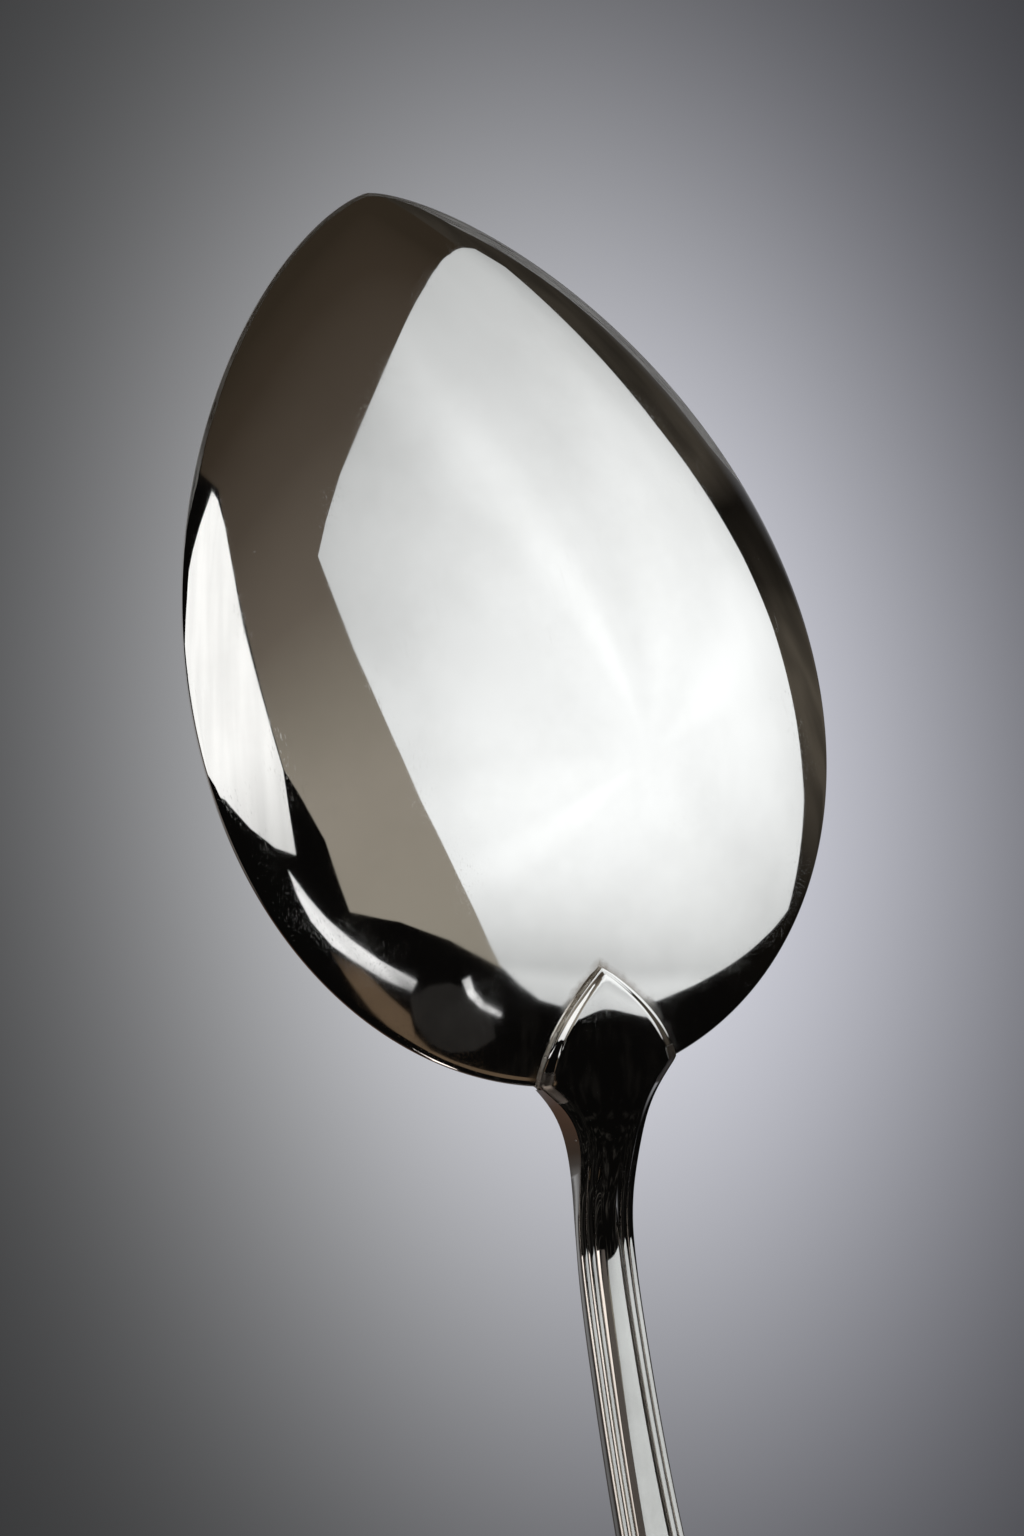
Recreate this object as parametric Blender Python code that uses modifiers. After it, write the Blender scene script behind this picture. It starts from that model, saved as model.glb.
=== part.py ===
"""Serving spoon lying on its back: a raised bowl, a forged stem lapped onto it at the heel, and solder.

+X runs from the end of the handle to the tip of the bowl, and Z = 0 is the table. The spoon is the same
on both sides of Y = 0. Along the stem, `run` is the distance from the root of the bowl towards the end.
"""

import math

import bmesh
import bpy

MM = 0.001

# Bowl: sizes are of its back, the side that rests on the table
BOWL_LENGTH = 80.8 * MM
BOWL_WIDTH = 58.2 * MM
BOWL_DEPTH = 9.8 * MM
RIM_LIFT = 1.9 * MM
BOWL_WALL = 1.3 * MM
RIM_ROUND = 0.45 * MM
BELLY_FLAT = 0.06 * MM
FLAT_SHARE = 0.97
TIP_POWER = 0.69
FULLNESS = 0.2

# Solder between the heel and the bowl
SOLDER_FILM = 0.15 * MM
SOLDER_MARGIN = 0.2 * MM
SOLDER_SETBACK = 1.05 * MM
SEAT_GAP = 0.1 * MM

# Heel: the pointed drop that laps onto the bowl's back
HEEL_LENGTH = 9.0 * MM
HEEL_WIDTH = 13.2 * MM
HEEL_HEIGHT = 0.75 * MM
HEEL_EDGE = 0.25 * MM
HEEL_BEVEL = 1.0 * MM
HEEL_POWER = 1.75

# Neck and handle
NECK_WIDTH = 5.1 * MM
NECK_FLARE = 2.2 * MM
NECK_THICKNESS = 3.7 * MM
NECK_SPAN = 13.0 * MM
ROOT_DROP = 0.95 * MM
LIP_LEAN = 0.6 * MM
HANDLE_LENGTH = 150.0 * MM
HANDLE_WIDTH = 19.0 * MM
HANDLE_THICKNESS = 2.1 * MM
THIN_SPAN = 80.0 * MM
EDGE_THICKNESS = 1.6 * MM
END_ROUND = 10.0 * MM
END_LEVEL = 6.0 * MM
CLOSE_SHARE = 0.9
WIDEN_POWER = 2.2

# Line of the handle: how far each station lies from the root, its rise over the root, and its slope
ROOT_SLOPE = 0.8
NECK_REACH = 10.0 * MM
NECK_RISE = 8.0 * MM
NECK_SLOPE = 0.6
SHOULDER_REACH = 24.0 * MM
SHOULDER_RISE = 13.4 * MM
SHOULDER_SLOPE = 0.29
ARCH_REACH = 60.0 * MM
ARCH_RISE = 18.8 * MM

# Threads struck along both edges of the handle, on both faces, and the panel between them
OUTER_THREAD = 0.64 * MM
INNER_THREAD = 0.64 * MM
THREAD_GROOVE = 0.16 * MM
PANEL_SHOULDER = 0.64 * MM
SHOULDER_SHARE = 0.7
PANEL_CROWN = 0.1 * MM
THREAD_START = 3.0 * MM
THREAD_FADE = 6.0 * MM

# Mesh counts
BOWL_RINGS = 12
BOWL_SIDES = 34
FILM_ROWS = 10
FILM_COLUMNS = 6
HEEL_ROWS = 10
HEEL_SPACING = 1.3
NECK_ROWS = 14
HANDLE_ROWS = 20
END_ROWS = 8
PANEL_STEPS = (0.0, 0.35, 0.7, 1.0)
INNER_STEPS = (0.0, 0.2, 0.5, 0.8, 1.0)
OUTER_STEPS = (0.75, 0.4, 0.0)

# Values that follow from the sizes above
TIP_X = (BOWL_LENGTH + HANDLE_LENGTH) / 2
ROOT_X = TIP_X - BOWL_LENGTH
RIM_END = BOWL_DEPTH + RIM_LIFT
STACK = 2 * SEAT_GAP + SOLDER_FILM
STEP = 2 * SEAT_GAP
OUTLINE_PEAK = TIP_POWER / (TIP_POWER + 0.5)
OUTLINE_SCALE = BOWL_WIDTH / 2 / (OUTLINE_PEAK**TIP_POWER * math.sqrt(1 - OUTLINE_PEAK))
THREAD_BAND = OUTER_THREAD + INNER_THREAD
EDGE_BAND = THREAD_BAND + PANEL_SHOULDER


def smooth(value):
    """A step from 0 to 1 with no slope at either end."""
    value = min(max(value, 0.0), 1.0)
    return value * value * (3 - 2 * value)


def mix(first, second, share):
    return tuple(a + (b - a) * share for a, b in zip(first, second))


# Bowl


def rim_half_width(share):
    """Half the bowl's width at a share of its length from the tip."""
    share = min(max(share, 0.0), 1.0)
    return OUTLINE_SCALE * share**TIP_POWER * math.sqrt(1 - share)


def bowl_back(x, y):
    """Height of the bowl's back, which runs on smoothly past the root under the neck."""
    share = max((TIP_X - x) / BOWL_LENGTH, 1e-4)
    along = 2 * share - 1
    belly = RIM_END * along * along
    curve = 4 * BOWL_DEPTH / OUTLINE_SCALE**2 * share ** (1 - 2 * TIP_POWER)
    rise = curve * y * y
    middle = max(4 * share * (1 - share), 0.0)
    across = min(y / max(rim_half_width(share), 1e-6), 1.0) if middle else 0.0
    rise *= 1 - FULLNESS * middle**2 * (1 - across * across)
    return max(belly + rise - BELLY_FLAT, 0.0)


def bowl_point(ring, turn):
    """A point of the bowl's back: ring 0 is the belly, 1 the rim; turn 0 is the tip, 1 the root."""
    flat = FLAT_SHARE * math.sqrt(BELLY_FLAT / RIM_END)
    steps = ring * BOWL_RINGS
    radius = flat * steps if steps < 1 else flat + (1 - flat) * (steps - 1) / (BOWL_RINGS - 1)
    share = (1 - math.cos(math.pi * turn)) / 2
    x = TIP_X - BOWL_LENGTH * (0.5 + radius * (share - 0.5))
    y = radius * rim_half_width(share)
    return x, y, bowl_back(x, y)


# Solder


def film_point(along, across):
    """A point of the film's upper side: along 0 is its tip, 1 its base just short of the bowl's root."""
    start = -HEEL_LENGTH - SOLDER_MARGIN
    run = start + (-SOLDER_SETBACK - start) * along
    y = across * (heel_half_width(run + SOLDER_MARGIN) + SOLDER_MARGIN * min(1.0, along * FILM_ROWS))
    x = ROOT_X - run
    return x, y, bowl_back(x, y) - SEAT_GAP


# Stem


def rim_bend(y):
    """How far the rim beside the middle lies nearer to the tip than the rim at the root."""
    return BOWL_LENGTH * (y / OUTLINE_SCALE) ** 2


def heel_half_width(run):
    """Half the width of the pointed drop, which is full at the root."""
    return HEEL_WIDTH / 2 * (1 - min(max(-run / HEEL_LENGTH, 0.0), 1.0) ** HEEL_POWER)


def stem_half_width(run):
    """Half the width of the stem in plan, from the tip of the heel to the end of the handle."""
    if run <= 0:
        return heel_half_width(run)
    neck = NECK_WIDTH / 2
    flare = (HEEL_WIDTH / 2 - neck) * math.exp(-run / NECK_FLARE)
    widest = HANDLE_LENGTH - END_ROUND
    widen = (HANDLE_WIDTH / 2 - neck) * min(run / widest, 1.0) ** WIDEN_POWER
    past = min(max((run - widest) / END_ROUND, 0.0), 1.0)
    return (neck + flare + widen) * math.sqrt(1 - past * past)


def thickness(run):
    """Thickness of the neck and handle, which closes at the rounded end."""
    neck = (NECK_THICKNESS - HANDLE_THICKNESS) * math.exp(-((run / THIN_SPAN) ** 2))
    past = min(max((run - HANDLE_LENGTH) / (HANDLE_THICKNESS / 2) + 1, 0.0), 1.0)
    return (HANDLE_THICKNESS + neck) * math.sqrt(1 - CLOSE_SHARE * past * past)


def hermite(run, start, end):
    """Height and slope of a smooth curve between two (run, height, slope) stations."""
    span = end[0] - start[0]
    t = (run - start[0]) / span
    height = (
        (2 * t**3 - 3 * t**2 + 1) * start[1]
        + (t**3 - 2 * t**2 + t) * span * start[2]
        + (3 * t**2 - 2 * t**3) * end[1]
        + (t**3 - t**2) * span * end[2]
    )
    slope = (
        (6 * t**2 - 6 * t) * (start[1] - end[1]) / span
        + (3 * t**2 - 4 * t + 1) * start[2]
        + (3 * t**2 - 2 * t) * end[2]
    )
    return height, slope


def centre_line(run):
    """Height and slope of the middle of the handle's thickness."""
    root = RIM_END + (BOWL_WALL - STACK - HEEL_HEIGHT) / 2
    level = HANDLE_THICKNESS / 2 + PANEL_CROWN - BELLY_FLAT
    stations = (
        (0.0, root, ROOT_SLOPE),
        (NECK_REACH, root + NECK_RISE, NECK_SLOPE),
        (SHOULDER_REACH, root + SHOULDER_RISE, SHOULDER_SLOPE),
        (ARCH_REACH, root + ARCH_RISE, 0.0),
        (HANDLE_LENGTH - END_LEVEL, level, 0.0),
    )
    for start, end in zip(stations, stations[1:]):
        if run <= end[0]:
            return hermite(run, start, end)
    return level, 0.0


def thread_relief(inset, panel_share):
    """Height of a struck face over its flat: inset is the distance from the edge, in band units."""
    outer = OUTER_THREAD / THREAD_BAND
    if inset < outer:
        bump = (inset - outer / 2) / (outer / 2)
        return -THREAD_GROOVE * (1 - math.sqrt(max(1 - bump * bump, 0.0)))
    if inset < 1:
        bump = (inset - (1 + outer) / 2) / ((1 - outer) / 2)
        return -THREAD_GROOVE * (1 - math.sqrt(max(1 - bump * bump, 0.0)))
    shoulder = smooth((inset - 1) * THREAD_BAND / PANEL_SHOULDER)
    return -THREAD_GROOVE * (1 - shoulder) + PANEL_CROWN * shoulder * (1 - panel_share**2)


def shoulder_fall(inset):
    """Share of the fall from the panel to the edge: a steep shoulder first, then the sloping threads."""
    if inset < 1:
        return SHOULDER_SHARE + (1 - SHOULDER_SHARE) * (1 - inset)
    return SHOULDER_SHARE * max(1 - (inset - 1) * THREAD_BAND / PANEL_SHOULDER, 0.0)


def face_columns():
    """Where the columns of half a face lie: (share of the panel, inset in band units), middle to edge."""
    outer = OUTER_THREAD / THREAD_BAND
    panel = [(share, None) for share in PANEL_STEPS]
    inner = [1 - (1 - outer) * step for step in INNER_STEPS]
    rim = [outer * step for step in OUTER_STEPS]
    return panel + [(1.0, inset) for inset in inner + rim]


def stem_point(run, column, columns):
    """A point of the stem's skin. The columns run from the middle of the back round to that of the front."""
    last = len(columns)
    front = column > last
    share, inset = columns[2 * last - column if front else min(column, last - 1)]
    near_root = math.exp(-run / NECK_FLARE) if run > 0 else 1 + run / HEEL_LENGTH
    half = stem_half_width(run)
    if run <= 0:
        half = heel_half_width(run - rim_bend(half) * near_root)
    band = min(1.0, half / (NECK_WIDTH / 2))
    panel = half - EDGE_BAND * band
    y = panel * share if inset is None else half - inset * THREAD_BAND * band
    inset = (half - y) / (THREAD_BAND * band) if band else 0.0
    x = ROOT_X - run + rim_bend(y) * near_root
    seat = bowl_back(x, y) - STACK
    bevel = smooth((half - y) / HEEL_BEVEL) if half else 0.0
    height = (HEEL_EDGE + (HEEL_HEIGHT - HEEL_EDGE) * bevel) * smooth(half / HEEL_BEVEL)
    middle, slope = centre_line(max(run, 0.0))
    struck = smooth((run - THREAD_START) / THREAD_FADE)
    closing = smooth((HANDLE_LENGTH - run) / HANDLE_THICKNESS)
    fall = max(thickness(run) - EDGE_THICKNESS, 0.0) / 2 * smooth(run / NECK_SPAN)
    relief = thread_relief(inset, share) * struck * closing - shoulder_fall(inset) * fall
    swell = (thickness(run) / 2 + relief) if column != last else 0.0
    tilt = math.atan(slope) * smooth(run / NECK_SPAN)
    side = 1 if front else -1
    lean = LIP_LEAN * near_root if front else 0.0
    if front:
        swell -= ROOT_DROP * near_root
    along = x + lean - side * swell * math.sin(tilt)
    handle = (along, y, middle + side * swell * math.cos(tilt))
    if front:
        point = handle if run > STEP else (x, y, seat)
    else:
        heel = (x, y, seat - (height / 2 if column == last else height))
        point = mix(heel, handle, smooth(run / NECK_SPAN))
    return point[0], point[1], max(point[2], 0.0)


def stem_runs():
    """The stations of the stem, closer together at the heel, the neck and the rounded end."""
    runs = [-HEEL_LENGTH * (1 - step / HEEL_ROWS) ** HEEL_SPACING for step in range(HEEL_ROWS)]
    runs += [0.0, STEP, STEP + SEAT_GAP]
    widest = HANDLE_LENGTH - END_ROUND
    for rows, end in ((NECK_ROWS, SHOULDER_REACH), (HANDLE_ROWS, widest)):
        start = runs[-1]
        runs += [start + (end - start) * step / rows for step in range(1, rows + 1)]
    runs += [widest + END_ROUND * math.sin(math.pi / 2 * step / END_ROWS) for step in range(1, END_ROWS + 1)]
    return runs


# Blender objects


def clear_scene():
    for obj in list(bpy.data.objects):
        bpy.data.objects.remove(obj, do_unlink=True)


def make_collection(name):
    collection = bpy.data.collections.new(name)
    bpy.context.scene.collection.children.link(collection)
    return collection


def metal(name, colour, roughness):
    material = bpy.data.materials.new(name)
    material.use_nodes = True
    shader = material.node_tree.nodes["Principled BSDF"]
    shader.inputs["Base Color"].default_value = (*colour, 1.0)
    shader.inputs["Metallic"].default_value = 1.0
    shader.inputs["Roughness"].default_value = roughness
    return material


def half_surface(name, rows, columns, place, collection, material):
    """A grid whose points `place` moves, mirrored over Y = 0. Points that meet are merged."""
    mesh = bpy.data.meshes.new(name)
    work = bmesh.new()
    bmesh.ops.create_grid(work, x_segments=rows, y_segments=columns, size=0.5)
    for vertex in work.verts:
        row = round((vertex.co.x + 0.5) * rows)
        column = round((vertex.co.y + 0.5) * columns)
        vertex.co = place(row, column)
    bmesh.ops.remove_doubles(work, verts=work.verts, dist=1e-7)
    bmesh.ops.recalc_face_normals(work, faces=work.faces)
    lowest = min(work.faces, key=lambda face: face.calc_center_median().z)
    if lowest.normal.z > 0:
        bmesh.ops.reverse_faces(work, faces=work.faces)
    work.to_mesh(mesh)
    work.free()
    mesh.materials.append(material)
    mesh.shade_smooth()
    obj = bpy.data.objects.new(name, mesh)
    collection.objects.link(obj)
    mirror = obj.modifiers.new("Mirror", "MIRROR")
    mirror.use_axis = (False, True, False)
    mirror.merge_threshold = 1e-6
    return obj


def solidify(obj, depth):
    """Thickens an open surface that faces down: upwards by a depth over 0, and downwards by one under 0."""
    shell = obj.modifiers.new("Wall", "SOLIDIFY")
    shell.thickness = abs(depth)
    shell.offset = -1.0 if depth > 0 else 1.0
    shell.use_even_offset = True


def make_bowl(collection):
    silver = metal("bowl_silver", (0.86, 0.84, 0.8), 0.12)

    def place(row, column):
        return bowl_point(row / BOWL_RINGS, column / BOWL_SIDES)

    bowl = half_surface("bowl", BOWL_RINGS, BOWL_SIDES, place, collection, silver)
    solidify(bowl, BOWL_WALL)
    rim = bowl.modifiers.new("Rim", "BEVEL")
    rim.width = RIM_ROUND
    rim.segments = 2
    rim.limit_method = "ANGLE"
    rim.angle_limit = math.radians(50)
    return bowl


def make_film(collection):
    solder = metal("solder_grey", (0.7, 0.68, 0.65), 0.3)

    def place(row, column):
        return film_point(row / FILM_ROWS, column / FILM_COLUMNS)

    film = half_surface("solder_seam", FILM_ROWS, FILM_COLUMNS, place, collection, solder)
    solidify(film, -SOLDER_FILM)
    return film


def make_stem(collection):
    silver = metal("stem_silver", (0.86, 0.84, 0.8), 0.14)
    runs = stem_runs()
    columns = face_columns()

    def place(row, column):
        return stem_point(runs[row], column, columns)

    return half_surface("stem", len(runs) - 1, 2 * len(columns), place, collection, silver)


def main():
    clear_scene()
    parts = make_collection("serving_spoon")
    frame = bpy.data.objects.new("spoon_frame", None)
    parts.objects.link(frame)
    for piece in (make_bowl(parts), make_film(parts), make_stem(parts)):
        piece.parent = frame


main()
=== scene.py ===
"""Looks of the serving spoon: finer bowl, stem and solder than the solids, polished silver and a studio.

The sizes and formulas are those of the part's source, in metres and in the same frame: the spoon lies on
the floor at Z = 0, open bowl up, and the photograph looks up at its back. The floor is one-sided, so that
this view passes through it. The softboxes that the back reflects stand below it, and a warm lath and two
black flags stand close to the handle.
"""

import math

import bmesh
import bpy
from mathutils import Matrix, Vector

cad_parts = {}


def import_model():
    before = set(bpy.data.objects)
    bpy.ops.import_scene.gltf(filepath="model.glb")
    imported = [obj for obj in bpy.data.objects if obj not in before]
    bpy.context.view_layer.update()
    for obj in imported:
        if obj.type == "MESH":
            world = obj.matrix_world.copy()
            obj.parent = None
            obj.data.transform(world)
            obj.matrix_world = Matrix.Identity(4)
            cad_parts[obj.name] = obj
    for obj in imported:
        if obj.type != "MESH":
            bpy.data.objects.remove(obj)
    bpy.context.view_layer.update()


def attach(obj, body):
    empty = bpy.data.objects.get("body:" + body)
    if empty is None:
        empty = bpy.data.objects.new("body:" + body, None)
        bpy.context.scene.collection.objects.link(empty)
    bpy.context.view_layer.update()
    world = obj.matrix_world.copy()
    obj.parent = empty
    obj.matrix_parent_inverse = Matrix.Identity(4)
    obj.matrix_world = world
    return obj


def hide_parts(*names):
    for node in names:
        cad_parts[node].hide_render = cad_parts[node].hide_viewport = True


MM = 0.001

# Bowl
BOWL_LENGTH = 80.8 * MM
BOWL_WIDTH = 58.2 * MM
BOWL_DEPTH = 9.8 * MM
RIM_LIFT = 1.9 * MM
BOWL_WALL = 1.3 * MM
BELLY_FLAT = 0.06 * MM
LIP_RADIUS = 0.3 * MM
TIP_POWER = 0.69
FULLNESS = 0.2

# Wear along the rim beside the tip: its widths, and the shares of the bowl's length over which it fades
WEAR_WIDE = 2.0 * MM
WEAR_WIDE_END = 0.43
WEAR_WIDE_FADE = 0.1
WEAR_TIP_SHARE = 0.35
WEAR_TIP_FADE = 0.05
WEAR_NARROW = 0.7 * MM
WEAR_NARROW_END = 0.42
WEAR_NARROW_FADE = 0.15

# Solder between the heel and the bowl
SOLDER_FILM = 0.15 * MM
SEAT_GAP = 0.1 * MM
FILLET = 0.16 * MM
FILLET_SINK = 0.04 * MM

# Bead of solder across the front, in mm: reach and rise round its section, and what its ends shrink to
BEAD_SECTION = ((-0.1, 1.28), (0.22, 1.1), (0.5, 0.96), (0.9, 0.88), (0.75, 0.4), (0.1, 0.4))
BEAD_REACH = 0.4
BEAD_RISE = 0.6
BEAD_TAPER = 0.3

# How steeply the solder thins out at its ends
END_TAPER = 8

# Heel
HEEL_LENGTH = 9.0 * MM
HEEL_WIDTH = 13.2 * MM
HEEL_HEIGHT = 0.75 * MM
HEEL_EDGE = 0.25 * MM
HEEL_BEVEL = 1.0 * MM
HEEL_POWER = 1.75
HEEL_DOME = 0.08
HEEL_CROWN = 0.12

# Neck and handle
NECK_WIDTH = 5.1 * MM
NECK_FLARE = 2.2 * MM
NECK_THICKNESS = 3.7 * MM
NECK_SPAN = 13.0 * MM
ROOT_DROP = 0.95 * MM
LIP_LEAN = 0.6 * MM
HANDLE_LENGTH = 150.0 * MM
HANDLE_WIDTH = 19.0 * MM
HANDLE_THICKNESS = 2.1 * MM
THIN_SPAN = 80.0 * MM
EDGE_THICKNESS = 1.6 * MM
END_ROUND = 10.0 * MM
END_LEVEL = 6.0 * MM
CLOSE_SHARE = 0.9
WIDEN_POWER = 2.2

# Line of the handle
ROOT_SLOPE = 0.8
NECK_REACH = 10.0 * MM
NECK_RISE = 8.0 * MM
NECK_SLOPE = 0.6
SHOULDER_REACH = 24.0 * MM
SHOULDER_RISE = 13.4 * MM
SHOULDER_SLOPE = 0.29
ARCH_REACH = 60.0 * MM
ARCH_RISE = 18.8 * MM

# Threads
OUTER_THREAD = 0.64 * MM
INNER_THREAD = 0.64 * MM
THREAD_GROOVE = 0.16 * MM
PANEL_SHOULDER = 0.64 * MM
SHOULDER_SHARE = 0.7
SHOULDER_POWER = 1.8
PANEL_CROWN = 0.1 * MM
THREAD_START = 3.0 * MM
THREAD_FADE = 6.0 * MM

# Tarnish at the foot of the panel's shoulder; tarnish and painted shade where the heel's bevel meets the
# rim
FOOT_POWER = 5
NOTCH_SHADE_REACH = 1.5 * MM
NOTCH_FADE = 0.6 * MM

# Where along X the handle's finish turns greyer from handling, and where it is greyest
HELD_FROM = 26 * MM
HELD_FULL = 17 * MM
HELD_GREYEST = -2 * MM

# Values that follow
TIP_X = (BOWL_LENGTH + HANDLE_LENGTH) / 2
ROOT_X = TIP_X - BOWL_LENGTH
RIM_END = BOWL_DEPTH + RIM_LIFT
STACK = 2 * SEAT_GAP + SOLDER_FILM
STEP = 2 * SEAT_GAP
OUTLINE_PEAK = TIP_POWER / (TIP_POWER + 0.5)
OUTLINE_SCALE = BOWL_WIDTH / 2 / (OUTLINE_PEAK**TIP_POWER * math.sqrt(1 - OUTLINE_PEAK))
THREAD_BAND = OUTER_THREAD + INNER_THREAD
EDGE_BAND = THREAD_BAND + PANEL_SHOULDER

# Mesh counts. Rows crowd together towards the heel's root by a power
BOWL_RINGS = 84
BOWL_SIDES = 320
LIP_ROWS = 16
PANEL_COLUMNS = 18
SHOULDER_COLUMNS = 10
INNER_COLUMNS = 14
OUTER_COLUMNS = 10
HEEL_ROWS = 40
NECK_ROWS = 64
HANDLE_ROWS = 110
END_ROWS = 28
FILM_ROWS = 60
FILM_COLUMNS = 24
BEAD_STATIONS = 48
ROW_POWER = 1.5

# Points nearer than this are welded, thinner faces are dropped, and steeper edges in degrees stay sharp
WELD = 1e-7
SLIVER = 1e-8
BOWL_CREASE = 50
STEM_CREASE = 38
SOLDER_CREASE = 60

# Camera of the photograph: where it stands, what it looks at, which way is up, and its lens
EYE = (-0.00710, -0.18231, -0.39871)
TARGET = (0.06213, -0.00261, 0.00800)
UP = (0.95372, 0.17916, -0.24150)
LENS_PER_HEIGHT = 5291.4 / 1536
SENSOR = 36.0

# Colours of the metal and of the floor's paper
SILVER_BRIGHT = (0.95, 0.945, 0.935, 1)
SILVER_DULL = (0.885, 0.88, 0.868, 1)
SCRATCH_GREY = (0.74, 0.73, 0.71, 1)
HELD_PALE = (0.66, 0.66, 0.645, 1)
HELD_GREY = (0.45, 0.45, 0.437, 1)
TARNISH_AND_SHADE = (0.1, 0.08, 0.062, 1)
HEEL_HALO_BROWN = (0.33, 0.28, 0.23, 1)
WORN_DARK = (0.62, 0.61, 0.595, 1)
WORN_BRIGHT = (0.9, 0.89, 0.875, 1)
SOLDER_PALE = (0.66, 0.63, 0.58, 1)
SOLDER_STAIN = (0.4, 0.36, 0.3, 1)
PAPER_DARK = (0.86, 0.86, 0.855, 1)
PAPER_PALE = (0.89, 0.89, 0.885, 1)

# Floor: half its size and its sheets' heights. What has come up through them has a depth above THROUGH
FLOOR_HALF = 12.0
FLOOR_SHEETS = (-0.1 * MM, -0.2 * MM, -0.3 * MM)
THROUGH = 2.5

# Lamps over the floor: name, place, width and height, power
LAMPS = (
    ("key_softbox", (0.45, -0.65, 1.0), (1.5, 1.3), 3.3),
    ("fill_softbox", (-0.9, 0.7, 0.8), (0.6, 1.4), 0.75),
)

# Ways that cards lie, and the main softbox: corner, ways across and up, hot spot, levels and fall-off
FLAT_X = (1, 0, 0)
FLAT_Y = (0, 1, 0)
UPRIGHT = (0, 0, 1)
PANEL_ORIGIN = (0.4300, -0.2572, -0.6300)
PANEL_ACROSS = (-0.9082, 0.3229, -0.2664)
PANEL_UP = (0.1340, 0.8273, 0.5459)
HOT_PLACE = (0.64, 0.58)
MAIN_LEVEL = 1.07
MAIN_FALL_ACROSS = 1.2
MAIN_FALL_RIGHT = 0.4
MAIN_FALL_UP = 0.42
MAIN_EDGE = 0.22
MAIN_TINT = (0.978, 1.0, 1.002, 1)
LEFT_TINT = (1.0, 1.0, 0.985, 1)

# Rays along the softbox's ribs: direction in radians, and tone, which is 0.5 where there is none
RAYS = (
    *((-3.14, 0.47), (-2.95, 0.57), (-2.7, 0.46), (-2.2, 0.4), (-1.8, 0.43), (-1.5, 0.5)),
    *((-1.33, 0.49), (-1.17, 0.57), (-0.95, 0.5), (-0.2, 0.48), (0.4, 0.48), (0.9, 0.42)),
    *((1.4, 0.46), (1.66, 0.49), (1.93, 0.58), (2.25, 0.52), (2.6, 0.55), (3.0, 0.45), (3.14, 0.47)),
)

# Outlines of the cards, in mm
MAIN_OUTLINE = (
    *((-163, 1110), (-143, 1014), (-112, 882), (-90, 755), (-79, 655), (-73, 495), (-61, 172)),
    *((-43, 68), (-18, -16), (32, -23), (226, -48), (630, -68), (887, -55), (1143, -39)),
    *((1235, -26), (1327, 37), (1396, 111), (1415, 197), (1351, 605), (1266, 773), (1205, 893)),
    *((1099, 1075), (1045, 1156), (895, 1219), (784, 1266), (629, 1292), (441, 1307), (323, 1290)),
    *((227, 1250), (119, 1207), (-148, 1194)),
)
LEFT_OUTLINE = (
    *((1314, -1022), (1183, -939), (969, -847), (706, -759), (500, -698), (243, -603)),
    *((49, -534), (-147, -514), (-112, -602), (-38, -720), (71, -863), (130, -990)),
    *((250, -1400), (880, -1600), (980, -1300), (1055, -1246), (1150, -1203), (1228, -1137)),
)
ROOM_OUTLINE = (
    *((41, -745), (-61, -665), (-222, -558), (-365, -509), (-451, -475), (-514, -265), (-600, -73)),
    *((-722, 123), (-1000, 650), (0, 6600), (9900, 9900), (9900, -7200), (1730, -1330)),
)
STREAK_OUTLINE = (
    *((-237, -702), (-329, -612), (-399, -536), (-469, -444), (-551, -324), (-629, -194)),
    *((-655, -214), (-602, -323), (-535, -430), (-478, -520), (-398, -606), (-314, -666)),
)
BROWN_OUTLINE = (
    *((-494, -527), (-564, -398), (-657, -298), (-723, -225), (-787, -207), (-846, -149), (-909, -52)),
    *((-984, 91), (-1047, 222), (-1100, 320), (-1200, 300), (-1150, 150), (-1060, 0), (-960, -120)),
    *((-793, -249), (-685, -371), (-566, -473)),
)
STOOL_OUTLINE = (
    *((-664, -222), (-643, -146), (-648, -73), (-695, 18), (-769, 75), (-858, 103)),
    *((-881, 23), (-864, -73), (-814, -150), (-741, -206)),
)
HOOK_OUTLINE = (
    *((-641, -29), (-635, 0), (-679, 14), (-727, 55)),
    *((-774, 121), (-781, 114), (-736, 37), (-690, -8)),
)
LATH_OUTLINE = ((10, 21), (10, -17), (-20, -17), (-20, 21))
SIDE_FLAG_OUTLINE = ((13, 10), (22.6, 10), (22.6, 18.6), (20.6, 20.6))
LOW_FLAG_OUTLINE = ((17.6, -4), (18.4, 8), (24, 8), (24, -4))

# Tones of the room: place along a ramp and colour, or one tone that is tinted brown
PALE = (0.74, 0.742, 0.746)
WALL_STOPS = (
    (0.0, PALE),
    (0.3, PALE),
    (0.45, (0.3, 0.303, 0.308)),
    (0.6, (0.1, 0.101, 0.104)),
    (0.78, (0.09, 0.091, 0.093)),
    (0.9, (0.42, 0.42, 0.42)),
    (1.0, (0.47, 0.47, 0.47)),
)
CARD_STOPS = (
    (0.0, (0.275, 0.25, 0.205)),
    (0.14, (0.275, 0.247, 0.205)),
    (0.19, (0.225, 0.202, 0.165)),
    (0.29, (0.125, 0.105, 0.084)),
    (0.45, (0.07, 0.056, 0.043)),
    (0.7, (0.04, 0.03, 0.021)),
    (1.0, (0.028, 0.021, 0.014)),
)
WARM_STOPS = (
    (0.0, (0.07, 0.042, 0.03)),
    (0.3, (0.05, 0.03, 0.021)),
    (0.6, (0.036, 0.026, 0.02)),
    (0.7, (0.05, 0.043, 0.038)),
    (0.9, (0.22, 0.218, 0.22)),
    (1.0, (0.32, 0.318, 0.322)),
)
BROWN_TONES = (
    *((0.0, 0.005), (0.06, 0.009), (0.14, 0.03), (0.22, 0.055), (0.33, 0.066), (0.38, 0.055)),
    *((0.44, 0.016), (0.52, 0.006), (0.565, 0.045), (0.64, 0.027), (0.75, 0.032), (1.0, 0.027)),
)
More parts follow.
